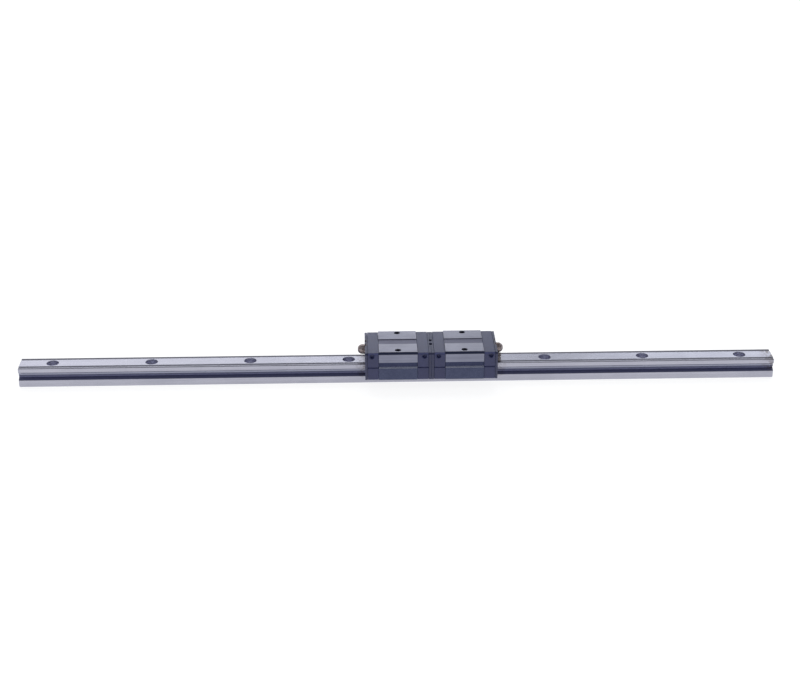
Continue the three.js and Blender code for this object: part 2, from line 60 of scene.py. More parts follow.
RAIL_LOW, RAIL_HIGH = box_mm("rail")
RAIL_HALF = RAIL_HIGH.y
RAIL_TOP = RAIL_HIGH.z
RAIL_NECK_HALF = 5.2
RAIL_BASE_TOP = 4.5
RAIL_EDGE = 0.45
NECK_DARK_TOP = 7.8
TRACK_DARK_TOP = 10.1
HOLE_PITCH = 60
HOLE_COUNT = 8
BOLT_RADIUS = 2.25
HEAD_RADIUS = 3.75
HEAD_DEPTH = 5.3

BLOCK_LOW, BLOCK_HIGH = box_mm("right_block")
BLOCK_HALF_LENGTH = (BLOCK_HIGH.x - BLOCK_LOW.x) / 2
BLOCK_HALF = BLOCK_HIGH.y
BLOCK_TOP = BLOCK_HIGH.z
BLOCK_BOTTOM = BLOCK_LOW.z
LOWER_HALF = BLOCK_HALF - 0.15
TOP_CHAMFER = 1.25
RECESS_HALF = 3.65
RECESS_DEPTH = 0.4
GROOVE_TOP = 17.45
GROOVE_BOTTOM = 14.3
GROOVE_DEPTH = 1.1
LEDGE_BOTTOM = 13.7
MOUNT_HOLE_Y = 13
MOUNT_CORE_RADIUS = 1.65
MOUNT_THREAD_RADIUS = 1.95
MOUNT_MOUTH_RADIUS = 1.9
MOUNT_THREAD_PITCH = 0.7
MOUNT_HOLE_DEPTH = 7

BALL_RADIUS = 1.389
TRACK_RADIUS = 1.5
RETURN_HOLE_RADIUS = 1.55
BALLS_PER_CIRCUIT = 20
TURN_RADIUS = 2.6
RUNNING_GAP = 0.7
CIRCUITS = {
    "upper": (5.75, 13.2, math.pi / 2),
    "lower": (7.4, 8.0, math.radians(35)),
}

PLATE_LOW, PLATE_HIGH = box_mm("right_outer_end_plate")
PLATE_HALF = PLATE_HIGH.y
PLATE_TOP = PLATE_HIGH.z
PLATE_BOTTOM = PLATE_LOW.z
PLATE_NOTCH_TOP = 14.9
PLATE_NOTCH_BOTTOM = 13.7
PLATE_NOTCH_DEPTH = 0.5
PLATE_CHAMFER = 1.0
BOTTOM_CHAMFER = 0.5
PILOT_RADIUS = 1.5
PILOT_DEPTH = 2.3
PILOT_Z = 21.4
SEAL_LOW, SEAL_HIGH = box_mm("right_outer_end_seal")
SEAL_HALF = SEAL_HIGH.y
SEAL_TOP = SEAL_HIGH.z
SEAL_BOTTOM = SEAL_LOW.z
SEAL_NOTCH_Y = 2.8
SEAL_NOTCH_WIDTH = 2.6
SEAL_NOTCH_DEPTH = 0.7
SEAL_NOTCH_BOTTOM = 20.6
LIP_REACH = 0.9
LIP_GAP = 0.3
LIP_WIDTH = 1.3
EDGE_BREAK = 0.1
# The plates are drawn this much nearer to the block than their solids are, to leave a finer seam.
SEAM = 0.05
# The seam between a plate and its seal is a groove of this depth.
SEAM_DEPTH = 0.6
# The two seals that meet reach out this much towards each other.
MEETING_REACH = 0.12
GREASE_Z = 19.3
GREASE_BORE_RADIUS = 1.75
NIPPLE_SEAT_RADIUS = 3.4
SCREW_Y = 11.2
SCREW_Z = 19.0
SCREW_HOLE_RADIUS = 1.4
SCREW_HEAD_ROOM = 2.25
SCREW_DEPTH = 4.65
SCREW_HEAD_HEIGHT = 1.28
SOCKET_RADIUS = 0.8
NIPPLE_DOME_LENGTH = 2.9
SHANK_RADIUS = 1.65
NIPPLE_BORE_RADIUS = 0.95
GUIDE_HALF_HEIGHT = 0.9

# Each carriage is built about its own middle with its greased end to +X, and then placed.
MIDDLE = {}
for prefix in CARRIAGES:
    low, high = box_mm(prefix + "_block")
    MIDDLE[prefix] = (low.x + high.x) / 2
PLATE_X = (PLATE_LOW.x - MIDDLE["right"], PLATE_HIGH.x - MIDDLE["right"])
SEAL_X = (SEAL_LOW.x - MIDDLE["right"], SEAL_HIGH.x - MIDDLE["right"])
PILOT_X = 15.8

# ---- outline helpers: lists of (y, z) points in millimetres ----


def arc(y, z, radius, start, stop, steps=14):
    points = []
    for i in range(steps + 1):
        angle = math.radians(start + (stop - start) * i / steps)
        points.append((y + radius * math.cos(angle), z + radius * math.sin(angle)))
    return points


def mirrored(half):
    return half + [(-y, z) for y, z in reversed(half)]


def rounded(outline, radius, steps=4, sharpest=25):
    """The outline with each corner of more than sharpest degrees turned into a small arc."""
    result = []
    count = len(outline)
    for i, point in enumerate(outline):
        here = Vector(point)
        before = Vector(outline[i - 1]) - here
        after = Vector(outline[(i + 1) % count]) - here
        turn = math.pi - before.angle(after)
        if turn < math.radians(sharpest):
            result.append(point)
            continue
        room = 0.45 * min(before.length, after.length)
        reach = min(radius * math.tan(turn / 2), room)
        start = here + before.normalized() * reach
        end = here + after.normalized() * reach
        for k in range(steps + 1):
            t = k / steps
            mixed = start * (1 - t) ** 2 + here * 2 * t * (1 - t) + end * t ** 2
            result.append(tuple(mixed))
    return result


def inset(outline, distance):
    """The outline moved inwards; it runs anticlockwise."""
    moved = []
    count = len(outline)
    for i, point in enumerate(outline):
        here = Vector(point)
        ahead = (Vector(outline[(i + 1) % count]) - here).normalized()
        behind = (here - Vector(outline[i - 1])).normalized()
        normal_a = Vector((-ahead.y, ahead.x))
        normal_b = Vector((-behind.y, behind.x))
        bisector = (normal_a + normal_b).normalized()
        stretch = max(bisector.dot(normal_a), 0.5)
        moved.append(tuple(here + bisector * distance / stretch))
    return moved


def signed_area(outline):
    total = 0
    for (y0, z0), (y1, z1) in zip(outline, outline[1:] + outline[:1]):
        total += y0 * z1 - y1 * z0
    return total / 2


# ---- mesh helpers ----


def link(name, mesh):
    piece = bpy.data.objects.new(name, mesh)
    bpy.context.scene.collection.objects.link(piece)
    return piece


def mesh_from(name, verts, faces):
    mesh = bpy.data.meshes.new(name)
    mesh.from_pydata([Vector(v) * MM for v in verts], [], faces)
    mesh.update()
    return mesh


def shrunk(outline, distance):
    """The outline drawn in towards its middle by about distance at its sides."""
    half = max(y for y, z in outline)
    middle = (min(z for y, z in outline) + max(z for y, z in outline)) / 2
    factor = 1 - distance / half
    return [(y * factor, middle + (z - middle) * factor) for y, z in outline]


def skin(rings, count, closed=False):
    """Faces between rings of count points each, capped at both ends unless it closes on itself."""
    faces = [] if closed else [tuple(reversed(range(count)))]
    for r in range(rings if closed else rings - 1):
        a, b = r * count, (r + 1) % rings * count
        for i in range(count):
            j = (i + 1) % count
            faces.append((a + i, a + j, b + j, b + i))
    if not closed:
        faces.append(tuple(range((rings - 1) * count, rings * count)))
    return faces


def sweep(name, outline, x0, x1, edge_break=0.0, narrow=inset):
    """A Y-Z outline swept along X, its ends broken by a small chamfer."""
    if signed_area(outline) < 0:
        outline = outline[::-1]
    rings = [(x0, outline), (x1, outline)]
    if edge_break:
        small = narrow(outline, edge_break)
        rings = [(x0, small), (x0 + edge_break, outline), (x1 - edge_break, outline), (x1, small)]
    verts = [(x, y, z) for x, ring in rings for y, z in ring]
    return link(name, mesh_from(name, verts, skin(len(rings), len(outline))))


def revolve(name, profile, segments=48, axis="X", at=(0, 0, 0)):
    """A profile of (along, radius) points turned about an axis through the point at."""
    verts = []
    rows = []
    for along, radius in profile:
        if radius < 1e-6:
            rows.append([len(verts)])
            verts.append((along, 0, 0))
            continue
        rows.append(list(range(len(verts), len(verts) + segments)))
        for i in range(segments):
            angle = 2 * math.pi * i / segments
            verts.append((along, radius * math.cos(angle), radius * math.sin(angle)))
    faces = []
    pairs = list(zip(rows, rows[1:]))
    if len(rows[0]) > 1:
        pairs.append((rows[-1], rows[0]))
    for a, b in pairs:
        for i in range(segments):
            j = (i + 1) % segments
            if len(a) == 1 and len(b) == 1:
                continue
            if len(a) == 1:
                faces.append((a[0], b[j], b[i]))
            elif len(b) == 1:
                faces.append((a[i], a[j], b[0]))
            else:
                faces.append((a[i], a[j], b[j], b[i]))
    mesh = mesh_from(name, verts, faces)
    turn = Matrix.Rotation(-math.pi / 2, 4, "Y") if axis == "Z" else Matrix.Identity(4)
    mesh.transform(Matrix.Translation(Vector(at) * MM) @ turn)
    fix_normals(mesh)
    return link(name, mesh)


def fix_normals(mesh):
    bm = bmesh.new()
    bm.from_mesh(mesh)
    bmesh.ops.recalc_face_normals(bm, faces=bm.faces)
    bm.to_mesh(mesh)
    bm.free()


def drop(piece):
    mesh = piece.data
    bpy.data.objects.remove(piece)
    bpy.data.meshes.remove(mesh)


def join(name, pieces):
    bm = bmesh.new()
    for piece in pieces:
        bm.from_mesh(piece.data)
    mesh = bpy.data.meshes.new(name)
    bm.to_mesh(mesh)
    bm.free()
    for piece in pieces:
        drop(piece)
    return link(name, mesh)


def carve(piece, cutters, operation="DIFFERENCE"):
    """Cuts the cutters out of the piece, or joins them to it, and removes them."""
    for cutter in cutters:
        modifier = piece.modifiers.new("carve", "BOOLEAN")
        modifier.operation = operation
        modifier.solver = "EXACT"
        modifier.object = cutter
        bpy.context.view_layer.update()
        shaped = piece.evaluated_get(bpy.context.evaluated_depsgraph_get())
        mesh = bpy.data.meshes.new_from_object(shaped)
        piece.modifiers.clear()
        old = piece.data
        piece.data = mesh
        bpy.data.meshes.remove(old)
        drop(cutter)
    return piece


def smooth(piece, angle=32):
    mesh = piece.data
    mesh.polygons.foreach_set("use_smooth", [True] * len(mesh.polygons))
    mesh.set_sharp_from_angle(angle=math.radians(angle))
    mesh.update()
    return piece


def place(piece, prefix, end="outer"):
    """Moves a piece built at a carriage's greased +X end to its carriage and end."""
    outward = 1 if prefix == "right" else -1
    if end == "inner":
        outward = -outward
    turn = Matrix.Identity(4) if outward > 0 else Matrix.Rotation(math.pi, 4, "Z")
    shift = Matrix.Translation((MIDDLE[prefix] * MM, 0, 0))
    piece.data.transform(shift @ turn)
    piece.data.update()
    return piece


def finish_piece(piece, node, body, materials):
    piece.data.materials.clear()
    for material in materials:
        piece.data.materials.append(material)
    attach(piece, body)
    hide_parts(node)


def paint(piece, finish_of):
    """Gives each face the material that finish_of(centre, normal) returns."""
    names = [material.name for material in piece.data.materials]
    for polygon in piece.data.polygons:
        material = finish_of(polygon.center / MM, polygon.normal)
        polygon.material_index = names.index(material.name)


def paint_from(piece, first_face, index):
    """Gives the faces from first_face on the material of this index."""
    for polygon in piece.data.polygons[first_face:]:
        polygon.material_index = index


# ---- material helpers ----

# Noise that isn't drawn out along any axis.
EVEN = (1, 1, 1)


class Nodes:
    """A short way to write a node tree for one material."""

    def __init__(self, name):
        self.material = bpy.data.materials.new(name)
        self.material.use_nodes = True
        self.tree = self.material.node_tree
        self.shader = self.tree.nodes["Principled BSDF"]
        self.coords = self.tree.nodes.new("ShaderNodeTexCoord").outputs["Object"]

    def set(self, **values):
        for key, value in values.items():
            self.shader.inputs[key.replace("_", " ")].default_value = value

    def link(self, source, target):
        self.tree.links.new(source, target)

    def add(self, kind, **inputs):
        node = self.tree.nodes.new(kind)
        for key, value in inputs.items():
            self.feed(node.inputs[key], value)
        return node

    def feed(self, socket, value):
        if isinstance(value, bpy.types.NodeSocket):
            self.link(value, socket)
        else:
            socket.default_value = value

    def noise(self, scale, stretch=EVEN, detail=4.0, roughness=0.55, distortion=0.0):
        """Noise whose features are about 1 / scale metres across, drawn out along an axis by stretch."""
        mapping = self.add("ShaderNodeMapping", Vector=self.coords)
        mapping.inputs["Scale"].default_value = stretch
        node = self.add("ShaderNodeTexNoise", Scale=scale, Detail=detail, Roughness=roughness,
                        Distortion=distortion)
        self.link(mapping.outputs["Vector"], node.inputs["Vector"])
        return node.outputs["Fac"]

    def ramp(self, value, stops):
        node = self.add("ShaderNodeValToRGB", Fac=value)
        elements = node.color_ramp.elements
        while len(elements) < len(stops):
            elements.new(0.5)
        for element, (position, colour) in zip(elements, stops):
            element.position = position
            element.color = (*colour, 1)
        return node.outputs["Color"]

    def range(self, value, low, high, from_low=0.0, from_high=1.0):
        node = self.add("ShaderNodeMapRange", Value=value)
        node.inputs["From Min"].default_value = from_low
        node.inputs["From Max"].default_value = from_high
        node.inputs["To Min"].default_value = low
        node.inputs["To Max"].default_value = high
        return node.outputs["Result"]

    def math(self, operation, a, b=0.0):
        node = self.tree.nodes.new("ShaderNodeMath")
        node.operation = operation
        self.feed(node.inputs[0], a)
        self.feed(node.inputs[1], b)
        return node.outputs["Value"]

    def mix(self, factor, a, b):
        node = self.tree.nodes.new("ShaderNodeMix")
        node.data_type = "RGBA"
        self.feed(node.inputs["Factor"], factor)
        for socket, value in ((node.inputs[6], a), (node.inputs[7], b)):
            if isinstance(value, tuple):
                value = (*value, 1)
            self.feed(socket, value)
        return node.outputs[2]

    def bump(self, height, strength, distance, before=None):
        node = self.add("ShaderNodeBump", Height=height, Strength=strength, Distance=distance)
        if before is not None:
            self.link(before, node.inputs["Normal"])
        return node.outputs["Normal"]

    def axis(self, name):
        node = self.add("ShaderNodeSeparateXYZ", Vector=self.coords)
        return node.outputs[name]


def steel(name, light, dark, roughness, lines=(0.02, 1, 1), line_depth=0.35, mottle=0.25):
    """Ground or drawn steel: fine lines drawn out along one axis, and slow cloudy changes of tone."""
    n = Nodes(name)
    n.set(Metallic=1.0)
    fine = n.noise(9000, lines, 3.0, 0.6)
    broad = n.noise(1400, lines, 2.0, 0.5)
    cloud = n.noise(55, EVEN, 4.0, 0.6, 0.4)
    tone = n.math("ADD", n.math("MULTIPLY", fine, 0.35), n.math("MULTIPLY", broad, 0.35))
    tone = n.math("ADD", tone, n.math("MULTIPLY", cloud, mottle))
    n.link(n.ramp(tone, [(0.3, dark), (0.62, light)]), n.shader.inputs["Base Color"])
    n.link(n.range(tone, roughness + 0.08, roughness - 0.06, 0.3, 0.7), n.shader.inputs["Roughness"])
    lines_bump = n.bump(fine, line_depth, 0.00002)
    n.link(n.bump(broad, line_depth * 0.6, 0.00004, lines_bump), n.shader.inputs["Normal"])
    return n


def near(n, axis, middle, half_width, soft):
    """1 where an axis value is within half_width of the middle, falling to 0 over soft; all in mm."""
    value = n.math("DIVIDE", n.axis(axis), MM)
    distance = n.math("ABSOLUTE", n.math("SUBTRACT", value, middle))
    return n.range(distance, 1.0, 0.0, half_width, half_width + soft)


def grease(n, places, colour, amount):
    """Patches of old grease over the tone and roughness that the material already has."""
    patches = n.range(n.noise(420, EVEN, 5.0, 0.7, 0.8), 0.0, 1.0, 0.44, 0.62)
    cover = None
    for x, half_width, soft in places:
        here = near(n, "X", x, half_width, soft)
        cover = here if cover is None else n.math("MAXIMUM", cover, here)
    cover = n.math("MULTIPLY", n.math("MULTIPLY", cover, patches), amount)
    colour_input = n.shader.inputs["Base Color"]
    n.link(n.mix(cover, colour_input.links[0].from_socket, colour), colour_input)
    rough_input = n.shader.inputs["Roughness"]
    n.link(n.math("ADD", n.math("MULTIPLY", cover, 0.12), rough_input.links[0].from_socket), rough_input)


# The outer faces of the two outer seals, where the grease gathers.
SEAL_ENDS = (MIDDLE["left"] - SEAL_X[1], MIDDLE["right"] + SEAL_X[1])
GREASE_BROWN = (0.1, 0.075, 0.055)


def rail_material():
    """Ground steel with a rough dark neck, which grinding doesn't reach, and painted shade over the neck
    and the lower track groove.
    """
    n = steel("rail_ground_steel", (0.45, 0.45, 0.525), (0.352, 0.356, 0.425), 0.27,
              (0.012, 1, 1), 0.3, 0.3)
    height = n.math("DIVIDE", n.axis("Z"), MM)
    wobble = n.math("MULTIPLY", n.noise(700, (0.3, 1, 1), 3.0), 0.25)
    level = n.math("ADD", height, wobble)
    above = n.range(level, 0.0, 1.0, RAIL_BASE_TOP + 0.1, RAIL_BASE_TOP + 0.3)
    below = n.range(level, 1.0, 0.0, NECK_DARK_TOP - 0.5, NECK_DARK_TOP)
    # Painted shade: the neck band between the base and the track groove, under the overhanging rail head.
    neck = n.math("MULTIPLY", above, below)
    # Painted shade and painted dark reflection: the lower track groove fades to dark blue down towards the
    # neck.
    groove = n.math("MULTIPLY", above, n.range(level, 0.62, 0.0, NECK_DARK_TOP, TRACK_DARK_TOP))
    colour_input = n.shader.inputs["Base Color"]
    rough_input = n.shader.inputs["Roughness"]
    shaded = n.mix(groove, colour_input.links[0].from_socket, (0.17, 0.19, 0.29))
    # The neck's dark tone is partly its unground finish and partly painted shade under the rail head.
    scale = n.ramp(n.noise(2600, EVEN, 4.0), [(0.3, (0.12, 0.127, 0.22)), (0.7, (0.19, 0.198, 0.32))])
    n.link(n.mix(neck, shaded, scale), colour_input)
    n.link(n.math("ADD", n.math("MULTIPLY", neck, 0.25), rough_input.links[0].from_socket), rough_input)
    grease(n, [(x, 1.5, 5.0) for x in SEAL_ENDS] + [(RAIL_HIGH.x, 3.0, 5.0)], GREASE_BROWN,
           n.range(height, 0.0, 0.7, RAIL_BASE_TOP - 1.5, RAIL_BASE_TOP + 2))
    return n.material


def bore_material(name, light, dark):
    """Drilled or turned walls: rings round a vertical axis."""
    return steel(name, light, dark, 0.42, (1, 1, 6), 0.5).material


# The cool film that dark plastic and rubber show at a low angle.
SHEEN = (0.5, 0.6, 1.0)


def plastic(name, light, dark, roughness, grain=0.25, film=0.22, gloss=0.6):
    """Moulded plastic: fine spark-eroded grain and a faint cloudy tone."""
    n = Nodes(name)
    cloud = n.noise(120, EVEN, 4.0, 0.6, 0.3)
    grains = n.noise(5200, EVEN, 2.0, 0.5)
    tone = n.math("ADD", n.math("MULTIPLY", cloud, 0.7), n.math("MULTIPLY", grains, 0.3))
    n.link(n.ramp(tone, [(0.35, dark), (0.65, light)]), n.shader.inputs["Base Color"])
    n.link(n.range(grains, roughness - 0.08, roughness + 0.1, 0.3, 0.7), n.shader.inputs["Roughness"])
    n.link(n.bump(grains, grain, 0.00003), n.shader.inputs["Normal"])
    n.set(Specular_IOR_Level=gloss, Sheen_Weight=film, Sheen_Roughness=0.45)
    n.shader.inputs["Sheen Tint"].default_value = (*SHEEN, 1)
    return n


def seal_material():
    """Dark rubber, greasy where it wipes the rail and round the nipple."""
    n = plastic("seal_rubber", (0.03, 0.035, 0.1), (0.018, 0.021, 0.07), 0.44, 0.4)
    amount = n.math("MULTIPLY", near(n, "Y", 0, 3.5, 4.0), 0.8)
    grease(n, [(x, 1.2, 1.0) for x in SEAL_ENDS], GREASE_BROWN, amount)
    return n.material


def grease_material():
    """Old brown grease: wet, lumpy, with grit in it."""
    n = Nodes("old_grease")
    lumps = n.noise(900, EVEN, 5.0, 0.7, 0.5)
    stops = [(0.35, (0.07, 0.06, 0.066)), (0.5, (0.18, 0.152, 0.158)), (0.68, (0.55, 0.5, 0.51))]
    n.link(n.ramp(lumps, stops), n.shader.inputs["Base Color"])
    n.link(n.range(lumps, 0.35, 0.6, 0.3, 0.7), n.shader.inputs["Roughness"])
    n.link(n.bump(lumps, 0.6, 0.0002), n.shader.inputs["Normal"])
    return n.material


def brass_material():
    """Plated brass, dulled brown by grease and dust."""
    n = Nodes("nipple_brass")
    n.set(Metallic=0.85)
    cloud = n.noise(700, EVEN, 5.0, 0.65, 0.6)
    rings = n.noise(7000, (1, 0.05, 0.05), 2.0)
    stops = [(0.32, (0.1, 0.075, 0.077)), (0.48, (0.27, 0.222, 0.218)), (0.66, (0.56, 0.5, 0.5))]
    n.link(n.ramp(cloud, stops), n.shader.inputs["Base Color"])
    n.link(n.range(cloud, 0.5, 0.24, 0.3, 0.7), n.shader.inputs["Roughness"])
    n.link(n.bump(rings, 0.3, 0.00002), n.shader.inputs["Normal"])
    return n.material


RAIL = rail_material()
GROUND = steel("ground_steel", (0.275, 0.277, 0.34), (0.21, 0.212, 0.262), 0.36,
               (0.015, 1, 1), 0.3, 0.3).material
SIDE_GROUND = steel("side_ground_steel", (0.252, 0.261, 0.338), (0.174, 0.18, 0.238), 0.34,
                    (0.012, 1, 1)).material
UNGROUND = steel("unground_steel", (0.092, 0.104, 0.172), (0.061, 0.07, 0.125), 0.5,
                 EVEN, 0.6).material
RECESS = steel("recess_steel", (0.155, 0.157, 0.218), (0.115, 0.117, 0.163), 0.46,
               (0.02, 1, 1), 0.4).material
# Painted shade: near-black steel for the shaded side groove of the block and the dark reflection on its top
# chamfer.
PAINTED_SHADE_STEEL = steel("painted_shade_steel", (0.063, 0.072, 0.132), (0.037, 0.043, 0.088), 0.5,
                  EVEN, 0.5).material
# Painted highlight: the upward-facing ledge under the side groove, much lighter than the block's other
# steel, as if lit from above.
LEDGE_HIGHLIGHT = steel("ledge_highlight_steel", (0.8, 0.83, 0.95), (0.62, 0.65, 0.78), 0.3, (0.012, 1, 1)).material
TRACK = steel("track_steel", (0.6, 0.6, 0.64), (0.45, 0.45, 0.5), 0.2, (0.008, 1, 1), 0.2).material
# Painted shade: near-black walls for the block's tapped holes and inner hollows.
BORE_SHADE = bore_material("bore_shade_steel", (0.07, 0.07, 0.1), (0.03, 0.03, 0.05))
RAIL_BORE = bore_material("rail_bore_steel", (0.8, 0.8, 0.9), (0.54, 0.55, 0.68))
END_CUT = steel("end_ground_steel", (0.42, 0.42, 0.46), (0.3, 0.3, 0.34), 0.34,
                (1, 1, 0.03), 0.4).material
SCREW = steel("black_oxide_steel", (0.08, 0.08, 0.09), (0.03, 0.03, 0.035), 0.36, EVEN, 0.4).material
BALLS = steel("polished_steel", (0.8, 0.8, 0.83), (0.7, 0.7, 0.74), 0.1, EVEN, 0.05, 0.15).material
SPRING = steel("spring_wire", (0.6, 0.6, 0.63), (0.4, 0.4, 0.44), 0.26, EVEN, 0.2).material
PLATE = plastic("end_plate_plastic", (0.021, 0.026, 0.108), (0.014, 0.018, 0.082), 0.4).material
# Painted shade: a darker copy of the end plate plastic, without sheen, for the dark line along the top
# chamfer.
PLATE_EDGE_SHADE = plastic("plate_edge_shade_plastic", (0.018, 0.022, 0.07), (0.012, 0.015, 0.05), 0.42,
                     0.1, 0, 0.15).material
PLATE_HOLE = plastic("plate_hole_plastic", (0.09, 0.1, 0.25), (0.06, 0.07, 0.18), 0.5).material
GUIDE = plastic("guide_plastic", (0.4, 0.41, 0.43), (0.32, 0.33, 0.35), 0.5).material
CAGE = plastic("cage_plastic", (0.5, 0.47, 0.38), (0.4, 0.37, 0.3), 0.45).material
SEAL = seal_material()
GREASE = grease_material()
BRASS = brass_material()

# ---- rail ----


def rail_outline():
    upper_y, upper_z, _ = CIRCUITS["upper"]
    lower_y, lower_z, _ = CIRCUITS["lower"]
    half = [
        (RAIL_HALF - RAIL_EDGE, 0),
        (RAIL_HALF, RAIL_EDGE),
        (RAIL_HALF, RAIL_BASE_TOP),
        (RAIL_NECK_HALF, RAIL_BASE_TOP + 1.3),
        (RAIL_NECK_HALF, RAIL_BASE_TOP + 2.2),
        *arc(lower_y, lower_z, TRACK_RADIUS, 210, 86),
        (RAIL_HALF, RAIL_TOP - RAIL_EDGE),
        *arc(upper_y, upper_z, TRACK_RADIUS, -30, -152),
    ]
    return rounded(mirrored(half), 0.18)


def rail_hole(x):
    seat = RAIL_TOP - HEAD_DEPTH
    rim = 0.1
    profile = [
        (-1, 0),
        (-1, BOLT_RADIUS + 1 + rim),
        (rim, BOLT_RADIUS),
        (seat - 0.15, BOLT_RADIUS),
        (seat, BOLT_RADIUS + 0.15),
        (seat, HEAD_RADIUS - 0.2),
        (seat + 0.2, HEAD_RADIUS),
        (RAIL_TOP - rim, HEAD_RADIUS),
        (RAIL_TOP + 1, HEAD_RADIUS + 1 + rim),
        (RAIL_TOP + 1, 0),
    ]
    return revolve("rail_hole", profile, 64, "Z", (x, 0, 0))


def hole_places():
    return [(i - (HOLE_COUNT - 1) / 2) * HOLE_PITCH for i in range(HOLE_COUNT)]


def rail_face(centre, normal):
    """Which of the rail's finishes a face has, by where it is and where it faces; in millimetres."""
    if abs(normal.x) > 0.95 and abs(centre.x) > RAIL_HIGH.x - 0.5:
        return END_CUT
    from_hole = min(abs(centre.x - x) for x in hole_places())
    across = max(from_hole, abs(centre.y))
    if across < HEAD_RADIUS and 0.05 < centre.z < RAIL_TOP - 0.12:
        return RAIL_BORE
    return RAIL


def make_rail():
    piece = sweep("rail_fine", rail_outline(), RAIL_LOW.x, RAIL_HIGH.x, 0.3, shrunk)
    carve(piece, [join("rail_holes", [rail_hole(x) for x in hole_places()])])
    smooth(piece)
    finish_piece(piece, "rail", "rail", [RAIL, RAIL_BORE, END_CUT])
    paint(piece, rail_face)


# ---- carriage blocks ----


def block_outline():
    upper_y, upper_z, _ = CIRCUITS["upper"]
    lower_y, lower_z, _ = CIRCUITS["lower"]
    inside = RAIL_HALF + RUNNING_GAP
    ceiling = RAIL_TOP + RUNNING_GAP
    groove = BLOCK_HALF - GROOVE_DEPTH
    meet = math.degrees(math.acos((inside - lower_y) / TRACK_RADIUS))
    half = [
        *arc(upper_y, upper_z, TRACK_RADIUS, 180, 0),
        (inside, ceiling),
        *arc(lower_y, lower_z, TRACK_RADIUS, meet, -meet),
        (inside, BLOCK_BOTTOM),
        (LOWER_HALF - BOTTOM_CHAMFER, BLOCK_BOTTOM),
        (LOWER_HALF, BLOCK_BOTTOM + BOTTOM_CHAMFER),
        (LOWER_HALF, LEDGE_BOTTOM),
        (groove, GROOVE_BOTTOM),
        (groove, GROOVE_TOP),
        (BLOCK_HALF, GROOVE_TOP),
        (BLOCK_HALF, BLOCK_TOP - TOP_CHAMFER),
        (BLOCK_HALF - TOP_CHAMFER, BLOCK_TOP),
        (RECESS_HALF, BLOCK_TOP),
        (RECESS_HALF, BLOCK_TOP - RECESS_DEPTH),
    ]
    return rounded(mirrored(half), 0.2)


def tapped_hole(side):
    """A blind hole whose wall has the ridges of a thread."""
    bottom = BLOCK_TOP - MOUNT_HOLE_DEPTH
    profile = [(bottom - 0.9, 0), (bottom, MOUNT_CORE_RADIUS)]
    turns = int(MOUNT_HOLE_DEPTH / MOUNT_THREAD_PITCH) - 1
    for i in range(turns):
        z = bottom + 0.3 + i * MOUNT_THREAD_PITCH
        profile.append((z, MOUNT_CORE_RADIUS))
        profile.append((z + MOUNT_THREAD_PITCH / 2, MOUNT_THREAD_RADIUS))
    profile.append((BLOCK_TOP - 0.3, MOUNT_CORE_RADIUS))
    profile.append((BLOCK_TOP - 0.05, MOUNT_MOUTH_RADIUS))
    profile.append((BLOCK_TOP + 1, MOUNT_MOUTH_RADIUS))
    profile.append((BLOCK_TOP + 1, 0))
    return revolve("tapped_hole", profile, 40, "Z", (0, side * MOUNT_HOLE_Y, 0))


def return_row(row, side):
    y, z, tilt = CIRCUITS[row]
    reach = 2 * TURN_RADIUS
    return side * (y + reach * math.cos(tilt)), z + reach * math.sin(tilt)


def through_hole(radius, x0, x1, y, z, segments=32):
    return revolve("through", [(x0, 0), (x0, radius), (x1, radius), (x1, 0)], segments, "X", (0, y, z))


def block_face(centre, normal):
    """Which of the block's finishes, painted shade and painted highlight a face has, by where it is and
    where it faces; in millimetres.
    """
    across = abs(centre.y)
    inside = RAIL_HALF + RUNNING_GAP + 1
    from_hole = math.hypot(centre.x, across - MOUNT_HOLE_Y)
    if abs(normal.x) > 0.9:
        return SIDE_GROUND
    # Painted shade in the tapped holes.
    if from_hole < MOUNT_THREAD_RADIUS + 0.1 and centre.z < BLOCK_TOP - 0.01:
        return BORE_SHADE
    if across < inside and centre.z < RAIL_TOP + RUNNING_GAP + 2:
        return TRACK
    # Painted shade in the hollows inside the block.
    if across < LOWER_HALF - 2 and centre.z < BLOCK_TOP - RECESS_DEPTH - 0.2:
        return BORE_SHADE
    if centre.z > BLOCK_TOP - 0.1 and normal.z > 0.5:
        return GROUND
    if across < RECESS_HALF + 0.3 and centre.z > BLOCK_TOP - RECESS_DEPTH - 0.1:
        return RECESS
    # Painted dark reflection on the top chamfer.
    if centre.z > BLOCK_TOP - TOP_CHAMFER:
        return PAINTED_SHADE_STEEL
    if across > BLOCK_HALF - 0.3 and centre.z > GROOVE_TOP:
        return SIDE_GROUND
    # Painted highlight on the ledge under the groove.
    if LEDGE_BOTTOM < centre.z < GROOVE_BOTTOM and normal.z > 0.3:
        return LEDGE_HIGHLIGHT
    # Painted shade in the side groove.
    if GROOVE_BOTTOM - 0.1 < centre.z < GROOVE_TOP + 0.1:
        return PAINTED_SHADE_STEEL
    return UNGROUND


def make_block(prefix):
    piece = sweep("block", block_outline(), -BLOCK_HALF_LENGTH, BLOCK_HALF_LENGTH, EDGE_BREAK)
    piece.name = prefix + "_block_fine"
    reach = BLOCK_HALF_LENGTH + 1
    cutters = [tapped_hole(-1), tapped_hole(1)]
    for side in (-1, 1):
        for row in ROWS:
            y, z = return_row(row, side)
            cutters.append(through_hole(RETURN_HOLE_RADIUS, -reach, reach, y, z))
        for end in (-1, 1):
            x0, x1 = sorted((end * (BLOCK_HALF_LENGTH - SCREW_DEPTH), end * reach))
            cutters.append(through_hole(SCREW_HOLE_RADIUS, x0, x1, side * SCREW_Y, SCREW_Z))
    carve(piece, [join("block_cutters", cutters)])
    smooth(piece)
    finish_piece(piece, prefix + "_block", prefix + "_carriage",
                 [GROUND, UNGROUND, SIDE_GROUND, TRACK, BORE_SHADE, RECESS, PAINTED_SHADE_STEEL, LEDGE_HIGHLIGHT])
    paint(piece, block_face)
    place(piece, prefix)


